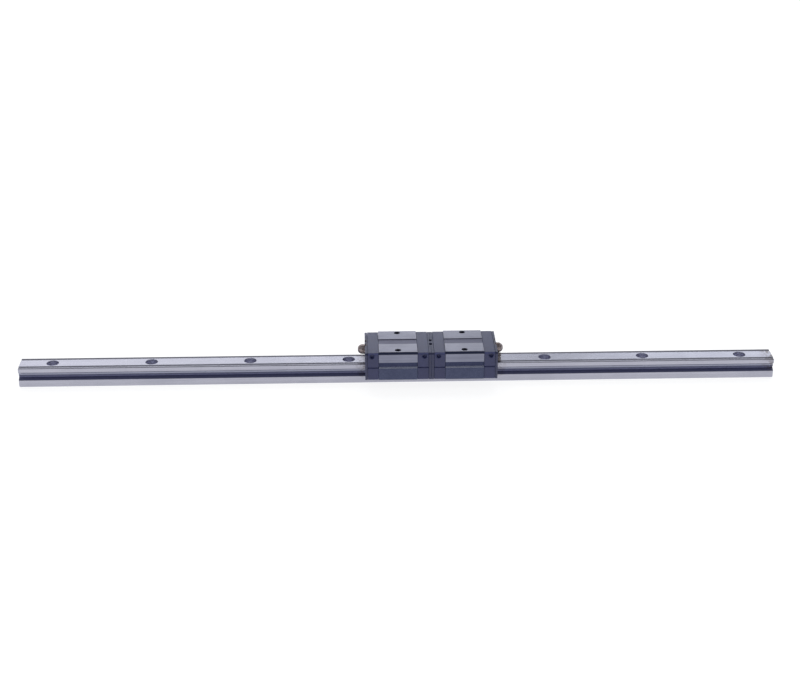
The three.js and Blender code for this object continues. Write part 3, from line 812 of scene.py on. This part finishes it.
# ---- end plates and seals ----


def opening_half(gap, bottom):
    side = RAIL_HALF + gap
    track_z = CIRCUITS["lower"][1]
    return [
        (side, RAIL_TOP + gap),
        (side, track_z + TRACK_RADIUS),
        (side - LIP_REACH, track_z + LIP_REACH / 2),
        (side - LIP_REACH, track_z - LIP_REACH),
        (side, bottom),
    ]


def on_circuit(piece, row, side):
    """Lays a piece on a circuit: its Y points from the loaded row to the return row."""
    y, z, tilt = CIRCUITS[row]
    away = Vector((0, side * math.cos(tilt), math.sin(tilt)))
    along = Vector((1, 0, 0))
    frame_matrix = Matrix((along, away, along.cross(away))).transposed().to_4x4()
    piece.data.transform(Matrix.Translation((0, side * y * MM, z * MM)) @ frame_matrix)
    return piece


def turn_pocket(row, side):
    """The half-round channel in which a ball row turns back, as a rounded disc."""
    channel = RETURN_HOLE_RADIUS
    profile = [(-channel, 0), *[
        (channel * math.sin(math.radians(a)), TURN_RADIUS + channel * math.cos(math.radians(a)))
        for a in range(-90, 91, 15)], (channel, 0)]
    pocket = revolve("pocket", profile, 48, "Z")
    pocket.data.transform(Matrix.Translation(((PLATE_X[0] - SEAM) * MM, TURN_RADIUS * MM, 0)))
    return on_circuit(pocket, row, side)


def pilot_hole(side):
    bottom = PLATE_HALF - PILOT_DEPTH
    profile = [(bottom, 0), (bottom, PILOT_RADIUS - 0.2), (PLATE_HALF - 0.1, PILOT_RADIUS),
               (PLATE_HALF + 1, PILOT_RADIUS + 1.1), (PLATE_HALF + 1, 0)]
    pilot = revolve("pilot", profile, 40, "X")
    pilot.data.transform(Matrix.Translation((PILOT_X * MM, 0, PILOT_Z * MM))
                         @ Matrix.Rotation(side * math.pi / 2, 4, "Z"))
    return pilot


def plate_face(centre, normal):
    """Which of the end plate's finishes, or painted shade, a face has, before the plate is placed; in
    millimetres.
    """
    from_pilot = math.hypot(centre.x - PILOT_X, centre.z - PILOT_Z)
    across = abs(centre.y)
    if from_pilot < PILOT_RADIUS and PLATE_HALF - PILOT_DEPTH - 0.1 < across < PLATE_HALF - 0.05:
        return PLATE_HOLE
    # The top chamfer gets the painted shade.
    slanted = centre.z > PLATE_TOP - PLATE_CHAMFER and 0.2 < normal.z < 0.95
    return PLATE_EDGE_SHADE if slanted and across > PLATE_HALF - PLATE_CHAMFER - 0.2 else PLATE


def make_plate(prefix, end):
    """A moulded end plate: a side notch, pilot holes, screw holes, grease port and turn pockets."""
    outline = mirrored([
        *opening_half(0.9, PLATE_BOTTOM),
        (PLATE_HALF - BOTTOM_CHAMFER, PLATE_BOTTOM),
        (PLATE_HALF, PLATE_BOTTOM + BOTTOM_CHAMFER),
        (PLATE_HALF, PLATE_NOTCH_BOTTOM),
        (PLATE_HALF - PLATE_NOTCH_DEPTH, PLATE_NOTCH_BOTTOM + 0.3),
        (PLATE_HALF - PLATE_NOTCH_DEPTH, PLATE_NOTCH_TOP - 0.3),
        (PLATE_HALF, PLATE_NOTCH_TOP),
        (PLATE_HALF, PLATE_TOP - PLATE_CHAMFER),
        (PLATE_HALF - PLATE_CHAMFER, PLATE_TOP),
    ])
    x0, x1 = PLATE_X[0] - SEAM, PLATE_X[1]
    piece = sweep("plate", rounded(outline, 0.22, 5), x0, x1, EDGE_BREAK)
    piece.name = f"{prefix}_{end}_end_plate_fine"
    cutters = [through_hole(GREASE_BORE_RADIUS, x1 - 4.2, x1 + 1, 0, GREASE_Z),
               through_hole(GREASE_BORE_RADIUS / 2, x0 - 1, x1 - 4, 0, GREASE_Z)]
    for side in (-1, 1):
        cutters.append(pilot_hole(side))
        cutters.append(through_hole(SCREW_HOLE_RADIUS, x0 - 1, x1 + 1, side * SCREW_Y, SCREW_Z))
        cutters += [turn_pocket(row, side) for row in ROWS]
    carve(piece, cutters)
    smooth(piece)
    finish_piece(piece, f"{prefix}_{end}_end_plate", prefix + "_carriage",
                 [PLATE, PLATE_HOLE, PLATE_EDGE_SHADE])
    paint(piece, plate_face)
    place(piece, prefix, end)


def notch(side):
    y = side * SEAL_NOTCH_Y
    half = SEAL_NOTCH_WIDTH / 2
    outline = rounded([(y - half, SEAL_NOTCH_BOTTOM), (y + half, SEAL_NOTCH_BOTTOM),
                       (y + half, SEAL_TOP + 1), (y - half, SEAL_TOP + 1)], 0.5)
    return sweep("notch", outline, SEAL_X[1] - SEAL_NOTCH_DEPTH, SEAL_X[1] + 1)


def grease_bead():
    """Grease pressed out of the nipple, hanging from it down the seal to just above the rail."""
    rows, around = 14, 12
    top, bottom = GREASE_Z - 2.6, RAIL_TOP + 0.3
    top_y, drift = -1.2, -4.6
    thickness, width = 2.0, 2.1
    verts = []
    for row in range(rows + 1):
        t = row / rows
        z = top + (bottom - top) * t
        swell = math.sin(math.pi * min(max(t, 0.22), 0.98)) ** 0.5
        swell *= 1 + 0.25 * math.sin(9 * t) + 0.15 * math.sin(23 * t)
        for k in range(around):
            angle = 2 * math.pi * k / around
            lump = 1 + 0.18 * math.sin(3 * angle + 11 * t)
            x = max(SEAL_X[1] + 1.0 + thickness * swell * lump * math.cos(angle), SEAL_X[1] - 0.4)
            y = top_y + drift * t + width * swell * lump * math.sin(angle)
            nipple_underside = GREASE_Z - math.sqrt(max(NIPPLE_SEAT_RADIUS ** 2 - y ** 2, 0))
            verts.append((x, y, min(z, nipple_underside)))
    mesh = mesh_from("grease", verts, skin(rows + 1, around))
    fix_normals(mesh)
    return link("grease", mesh)


def make_seal(prefix, end):
    """A rubber plate, with a raised lip that wipes the rail round the opening."""
    outline = mirrored([
        *opening_half(LIP_GAP, SEAL_BOTTOM),
        (SEAL_HALF - BOTTOM_CHAMFER, SEAL_BOTTOM),
        (SEAL_HALF, SEAL_BOTTOM + BOTTOM_CHAMFER),
        (SEAL_HALF, SEAL_TOP - PLATE_CHAMFER),
        (SEAL_HALF - PLATE_CHAMFER, SEAL_TOP),
    ])
    rim_half = RAIL_HALF + LIP_GAP + 3 * LIP_WIDTH
    rim = mirrored([
        *opening_half(LIP_GAP + LIP_WIDTH, SEAL_BOTTOM + 0.2),
        (rim_half, SEAL_BOTTOM + 0.2),
        (rim_half, RAIL_TOP + 3 * LIP_WIDTH),
    ])
    backing = mirrored([
        (RAIL_HALF + 2, RAIL_TOP + 2),
        (RAIL_HALF + 2, SEAL_BOTTOM + SEAM_DEPTH),
        (SEAL_HALF - SEAM_DEPTH, SEAL_BOTTOM + SEAM_DEPTH),
        (SEAL_HALF - SEAM_DEPTH, SEAL_TOP - PLATE_CHAMFER - SEAM_DEPTH / 2),
        (SEAL_HALF - PLATE_CHAMFER - SEAM_DEPTH / 2, SEAL_TOP - SEAM_DEPTH),
    ])
    face = SEAL_X[1] + (MEETING_REACH if end == "inner" else 0)
    piece = sweep("seal", rounded(outline, 0.2, 5), SEAL_X[0], face, EDGE_BREAK)
    carve(piece, [sweep("backing", backing, PLATE_X[1] + SEAM, SEAL_X[0] + 0.3)], "UNION")
    piece.name = f"{prefix}_{end}_end_seal_fine"
    x0, x1 = SEAL_X[0] - 1, SEAL_X[1] + 1
    cutters = [through_hole(NIPPLE_SEAT_RADIUS, x0, x1, 0, GREASE_Z, 64)]
    cutters.append(sweep("lip_trench", rounded(rim, 0.3), SEAL_X[1] - 0.35, x1))
    for side in (-1, 1):
        cutters.append(through_hole(SCREW_HEAD_ROOM, x0, x1, side * SCREW_Y, SCREW_Z, 48))
        cutters.append(notch(side))
    carve(piece, cutters)
    rubber_faces = len(piece.data.polygons)
    if (prefix, end) == ("right", "outer"):
        name = piece.name
        piece = join("greased_seal", [piece, grease_bead()])
        piece.name = name
    smooth(piece)
    place(piece, prefix, end)
    finish_piece(piece, f"{prefix}_{end}_end_seal", prefix + "_carriage", [SEAL, GREASE])
    paint_from(piece, rubber_faces, 1)


def make_side_seal(prefix, side_name, sign):
    """A rubber strip under a block leg, with a thin lip towards the rail; its steel backing is not drawn.
    """
    low, high = box_mm(f"{prefix}_{side_name}_side_seal")
    inner, outer = sorted((abs(low.y), abs(high.y)))
    half = [(inner, low.z + 0.12), (inner + 0.5, low.z), (outer, low.z), (outer, high.z),
            (inner + 0.9, high.z), (inner + 0.5, low.z + 0.3)]
    outline = [(sign * y, z) for y, z in half]
    piece = sweep("side_seal", rounded(outline, 0.06, 3), low.x, high.x, 0.06)
    piece.name = f"{prefix}_{side_name}_side_seal_fine"
    smooth(piece)
    finish_piece(piece, f"{prefix}_{side_name}_side_seal", prefix + "_carriage", [SEAL])


# ---- ball circuits ----


def racetrack(distance):
    """Point, and outward direction, at a distance along a circuit; in millimetres in its own plane."""
    straight = 2 * BLOCK_HALF_LENGTH
    bend = math.pi * TURN_RADIUS
    if distance < straight:
        return Vector((distance - straight / 2, 0, 0)), Vector((0, -1, 0))
    if distance < straight + bend:
        angle = (distance - straight) / TURN_RADIUS
        out = Vector((math.sin(angle), -math.cos(angle), 0))
        return Vector((straight / 2, TURN_RADIUS, 0)) + out * TURN_RADIUS, out
    point, out = racetrack(distance - straight - bend)
    return Vector((-point.x, 2 * TURN_RADIUS - point.y, 0)), -out


def cage_band():
    """The flexible belt of the cage: a flat band round the whole circuit."""
    thickness, width, steps = 0.4, 2.2, 140
    length = 4 * BLOCK_HALF_LENGTH + 2 * math.pi * TURN_RADIUS
    corners = ((-1, -1), (-1, 1), (1, 1), (1, -1))
    verts = []
    for step in range(steps):
        point, out = racetrack(step * length / steps)
        for across, up in corners:
            verts.append(point + out * (across * thickness / 2) + Vector((0, 0, up * width / 2)))
    mesh = mesh_from("cage", verts, skin(steps, len(corners), closed=True))
    fix_normals(mesh)
    return link("cage", mesh)


def ball_profile(radius, steps):
    """Half a circle, for a ball."""
    angles = [math.pi * i / steps for i in range(steps + 1)]
    return [(-radius * math.cos(angle), radius * math.sin(angle)) for angle in angles]


def ball_string():
    """Balls, one at the middle of each row, with spacers between them and the belt that joins these."""
    pitch = (4 * BLOCK_HALF_LENGTH + 2 * math.pi * TURN_RADIUS) / BALLS_PER_CIRCUIT
    ball = ball_profile(BALL_RADIUS, 14)
    spacer = [(-0.35, 0), (-0.5, 0.95), (0.5, 0.95), (0.35, 0)]
    balls = []
    spacers = []
    for i in range(BALLS_PER_CIRCUIT):
        for offset, profile, segments, group in (
                (0, ball, 24, balls), (pitch / 2, spacer, 16, spacers)):
            point, out = racetrack(BLOCK_HALF_LENGTH + i * pitch + offset)
            piece = revolve("bead", profile, segments)
            piece.data.transform(Matrix.Translation(point * MM)
                                 @ Matrix.Rotation(math.atan2(out.x, -out.y), 4, "Z"))
            group.append(piece)
    chain = join("balls", balls)
    ball_faces = len(chain.data.polygons)
    return join("chain", [chain, *spacers, cage_band()]), ball_faces


def make_chains():
    pattern, ball_faces = ball_string()
    for prefix in CARRIAGES:
        for side_name, sign in side_signs(prefix):
            for row in ROWS:
                node = f"{prefix}_{side_name}_{row}_ball_chain"
                piece = link(node + "_fine", pattern.data.copy())
                on_circuit(piece, row, sign)
                smooth(piece, 40)
                place(piece, prefix)
                finish_piece(piece, node, prefix + "_carriage", [BALLS, CAGE])
                paint_from(piece, ball_faces, 1)
    drop(pattern)


def side_signs(prefix, end="outer"):
    """Front and rear, with the side that each is on before the carriage, or its inner end, is turned."""
    turned = (prefix == "left") != (end == "inner")
    return (("front", 1), ("rear", -1)) if turned else (("front", -1), ("rear", 1))


def return_guide():
    """A half spool: flat against the block, with a saddle that the balls turn about."""
    groove = BALL_RADIUS + 0.1
    steps = 10
    profile = [(-GUIDE_HALF_HEIGHT, 0)]
    for i in range(steps + 1):
        height = GUIDE_HALF_HEIGHT * (2 * i / steps - 1)
        profile.append((height, TURN_RADIUS - math.sqrt(groove ** 2 - height ** 2)))
    profile.append((GUIDE_HALF_HEIGHT, 0))
    piece = revolve("guide", profile, 48, "Z")
    piece.data.transform(Matrix.Translation((BLOCK_HALF_LENGTH * MM, TURN_RADIUS * MM, 0)))
    reach = 4
    behind = sweep("behind", [(-reach, -reach), (3 * reach, -reach), (3 * reach, reach), (-reach, reach)],
                   PLATE_X[0] - reach, PLATE_X[0])
    return carve(piece, [behind])


# ---- screws, grease nipple and plug ----


def hex_socket(radius, x0, x1):
    corner = radius / math.cos(math.pi / 6)
    outline = [(corner * math.cos(math.pi * i / 3), corner * math.sin(math.pi * i / 3)) for i in range(6)]
    return sweep("socket", outline, x0, x1)


def thread(x0, x1, radius, depth, pitch):
    """Profile points of thread ridges from x0 to x1."""
    points = []
    count = int((x1 - x0) / pitch)
    for i in range(count):
        start = x0 + i * pitch
        points += [(start, radius - depth), (start + pitch / 2, radius)]
    return points


def end_screw():
    low, high = box_mm("right_outer_front_end_screw")
    tip = low.x - MIDDLE["right"]
    top = high.x - MIDDLE["right"]
    seat = top - SCREW_HEAD_HEIGHT
    radius = 1.2
    head = (high.z - low.z) / 2
    profile = [(tip, 0), (tip, 0.75), *thread(tip + 0.3, seat - 2.5, radius, 0.18, 0.4),
               (seat - 2.4, radius), (seat, radius), (seat, head - 0.1), (seat + 0.1, head),
               (top - 0.35, head), (top - 0.12, head - 0.15), (top, head - 0.4), (top, 0)]
    piece = revolve("screw", profile, 48)
    carve(piece, [hex_socket(SOCKET_RADIUS, top - 0.8, top + 1)])
    piece.data.transform(Matrix.Translation((0, 0, SCREW_Z * MM)))
    return piece


def copies(pattern, shift, name, node, prefix, end, material, angle=35):
    piece = link(name, pattern.data.copy())
    piece.data.transform(shift)
    smooth(piece, angle)
    place(piece, prefix, end)
    finish_piece(piece, node, prefix + "_carriage", [material])


def make_screws_and_guides():
    screw = end_screw()
    guide = return_guide()
    for prefix in CARRIAGES:
        for end in ENDS:
            for side_name, sign in side_signs(prefix, end):
                node = f"{prefix}_{end}_{side_name}_end_screw"
                copies(screw, Matrix.Translation((0, sign * SCREW_Y * MM, 0)), node + "_fine", node,
                       prefix, end, SCREW)
                for row in ROWS:
                    node = f"{prefix}_{end}_{side_name}_{row}_return_guide"
                    placed = on_circuit(link("placed", guide.data.copy()), row, sign)
                    fix_normals(placed.data)
                    copies(placed, Matrix.Identity(4), node + "_fine", node, prefix, end,
                           GUIDE)
                    drop(placed)
    drop(screw)
    drop(guide)


def make_nipple(prefix):
    """Drive-in nipple: barbed shank, round head with a coned mouth."""
    low, high = box_mm("right_grease_nipple")
    start = low.x - MIDDLE["right"]
    tip = high.x - MIDDLE["right"]
    head = (high.z - low.z) / 2
    seat = PLATE_X[1] + 0.1
    barb = SHANK_RADIUS - 0.2
    inlet = 0.45
    shank = [(start, inlet), (start, SHANK_RADIUS - 0.35), (start + 0.8, SHANK_RADIUS),
             (start + 1.6, barb), (start + 1.65, SHANK_RADIUS), (start + 2.4, barb),
             (start + 2.45, SHANK_RADIUS), (seat, SHANK_RADIUS)]
    collar = [(seat, head - 0.1), (seat + 0.1, head), (tip - 3.3, head),
              (tip - 3.2, head - 0.12), (tip - 3.0, head - 0.12)]
    dome = []
    for degrees in range(0, 71, 7):
        angle = math.radians(degrees)
        along = tip - NIPPLE_DOME_LENGTH + 1.06 * NIPPLE_DOME_LENGTH * math.sin(angle)
        dome.append((along, (head - 0.04) * math.cos(angle)))
    mouth = [(tip, 1.0), (tip - 0.06, 0.92), (tip - 0.75, inlet)]
    bore = [(tip - 1.1, NIPPLE_BORE_RADIUS), (start + 1.2, NIPPLE_BORE_RADIUS), (start + 1.2, inlet)]
    profile = shank + collar + dome + mouth + bore
    piece = revolve("nipple", profile, 64, "X", (0, 0, GREASE_Z))
    piece.name = prefix + "_grease_nipple_fine"
    smooth(piece)
    place(piece, prefix)
    finish_piece(piece, prefix + "_grease_nipple", prefix + "_carriage", [BRASS])


def make_nipple_ball(prefix):
    low, high = box_mm(prefix + "_nipple_ball")
    middle = (low + high) / 2
    radius = (high.z - low.z) / 2
    piece = revolve(prefix + "_nipple_ball_fine", ball_profile(radius, 16), 32, "X", middle)
    smooth(piece, 60)
    finish_piece(piece, prefix + "_nipple_ball", prefix + "_nipple_valve", [BALLS])


def make_nipple_spring(prefix):
    """Round wire wound on a helix."""
    low, high = box_mm(prefix + "_nipple_spring")
    wire, turns, around, ring = 0.1, 4, 20, 8
    radius = (high.z - low.z) / 2 - wire
    length = high.x - low.x - 2 * wire
    steps = turns * around
    verts = []
    for i in range(steps + 1):
        angle = 2 * math.pi * i / around
        out = Vector((0, math.cos(angle), math.sin(angle)))
        centre = Vector((low.x + wire + length * i / steps, 0, GREASE_Z)) + out * radius
        for k in range(ring):
            turn = 2 * math.pi * k / ring
            verts.append(centre + out * wire * math.cos(turn) + Vector((wire * math.sin(turn), 0, 0)))
    mesh = mesh_from("spring", verts, skin(steps + 1, ring))
    fix_normals(mesh)
    piece = link(prefix + "_nipple_spring_fine", mesh)
    smooth(piece, 50)
    finish_piece(piece, prefix + "_nipple_spring", prefix + "_carriage", [SPRING])


def make_plug(prefix):
    low, high = box_mm("right_grease_plug")
    outer = MIDDLE["right"] - low.x
    start = MIDDLE["right"] - high.x
    profile = [(start, 0), (start, 1.2), *thread(start + 0.3, outer - 0.3, SHANK_RADIUS, 0.25, 0.5),
               (outer - 0.2, 1.6), (outer, 1.45), (outer, 0)]
    piece = revolve("plug", profile, 40)
    carve(piece, [hex_socket(SOCKET_RADIUS, outer - 1.6, outer + 1)])
    piece.data.transform(Matrix.Translation((0, 0, GREASE_Z * MM)))
    piece.name = prefix + "_grease_plug_fine"
    smooth(piece)
    place(piece, prefix, "inner")
    finish_piece(piece, prefix + "_grease_plug", prefix + "_carriage", [SCREW])


# ---- stage ----

CAMERA_AZIMUTH = -1.7
CAMERA_ELEVATION = 24.1
CAMERA_ROLL = -0.035
CAMERA_DISTANCE = 1.033
CAMERA_TARGET = Vector((0.00133, 0, 0.01861))
CAMERA_LENS = 76.19
FLOOR_REACH = 30000
FLOOR_Z = -0.05


def make_camera():
    azimuth = math.radians(CAMERA_AZIMUTH)
    elevation = math.radians(CAMERA_ELEVATION)
    back = Vector((math.sin(azimuth) * math.cos(elevation), -math.cos(azimuth) * math.cos(elevation),
                   math.sin(elevation)))
    data = bpy.data.cameras.new("camera")
    data.lens = CAMERA_LENS
    data.sensor_width = 36
    camera = bpy.data.objects.new("camera", data)
    bpy.context.scene.collection.objects.link(camera)
    camera.location = CAMERA_TARGET + back * CAMERA_DISTANCE
    aim = (-back).to_track_quat("-Z", "Y").to_matrix().to_4x4()
    roll = Matrix.Rotation(math.radians(CAMERA_ROLL), 4, "Z")
    camera.matrix_world = Matrix.Translation(camera.location) @ aim @ roll
    bpy.context.scene.camera = camera


def softbox(name, location, size, brightness, colour=(1, 1, 1)):
    """A rectangular light that faces the object; its brightness is per area, so size only softens."""
    data = bpy.data.lights.new(name, "AREA")
    data.shape = "RECTANGLE"
    data.size, data.size_y = size
    data.energy = brightness * math.pi * size[0] * size[1]
    data.color = colour
    lamp = bpy.data.objects.new(name, data)
    bpy.context.scene.collection.objects.link(lamp)
    lamp.location = location
    lamp.rotation_euler = (-Vector(location)).to_track_quat("-Z", "Y").to_euler()


def make_stage():
    """White paper on a lit table, soft lights behind, and a dim room in front and above."""
    corners = [(x * FLOOR_REACH, y * FLOOR_REACH, FLOOR_Z) for x, y in ((-1, -1), (1, -1), (1, 1), (-1, 1))]
    mesh = mesh_from("floor", corners, [(0, 1, 2, 3)])
    floor = link("floor", mesh)
    n = Nodes("floor_paper")
    speckle = n.noise(300, (1, 1, 1), 3.0)
    n.link(n.ramp(speckle, [(0.3, (0.34, 0.34, 0.345)), (0.7, (0.38, 0.38, 0.385))]),
           n.shader.inputs["Base Color"])
    n.set(Roughness=0.8, Emission_Strength=0.86)
    n.shader.inputs["Emission Color"].default_value = (1, 1, 1, 1)
    mesh.materials.append(n.material)
    world = bpy.data.worlds.new("studio")
    bpy.context.scene.world = world
    world.use_nodes = True
    background = world.node_tree.nodes["Background"]
    background.inputs["Color"].default_value = (0.93, 0.95, 1.0, 1)
    background.inputs["Strength"].default_value = 0.32
    softbox("back_left", (-0.86, 1.9, 0.8), (1.7, 1.3), 1.15, (0.97, 0.98, 1.0))
    softbox("back_right", (0.93, 1.9, 0.8), (1.1, 1.3), 1.15, (0.93, 0.96, 1.0))
    softbox("back_middle", (0.1, 1.9, 0.8), (0.27, 1.3), 1.25, (0.93, 0.96, 1.0))
    softbox("high_back", (0, 1.0, 1.6), (1.8, 0.8), 1.2)
    softbox("left", (-2.2, 0.2, 0.9), (1.3, 1.1), 0.9)
    softbox("right", (2.2, 0.2, 0.9), (1.3, 1.1), 0.8, (0.85, 0.92, 1.0))
    bpy.context.scene.view_settings.view_transform = "Standard"


make_camera()
make_stage()
make_rail()
for prefix in CARRIAGES:
    make_block(prefix)
    make_nipple(prefix)
    make_nipple_ball(prefix)
    make_nipple_spring(prefix)
    make_plug(prefix)
    for side_name, sign in (("front", -1), ("rear", 1)):
        make_side_seal(prefix, side_name, sign)
    for end in ENDS:
        make_plate(prefix, end)
        make_seal(prefix, end)
make_screws_and_guides()
make_chains()
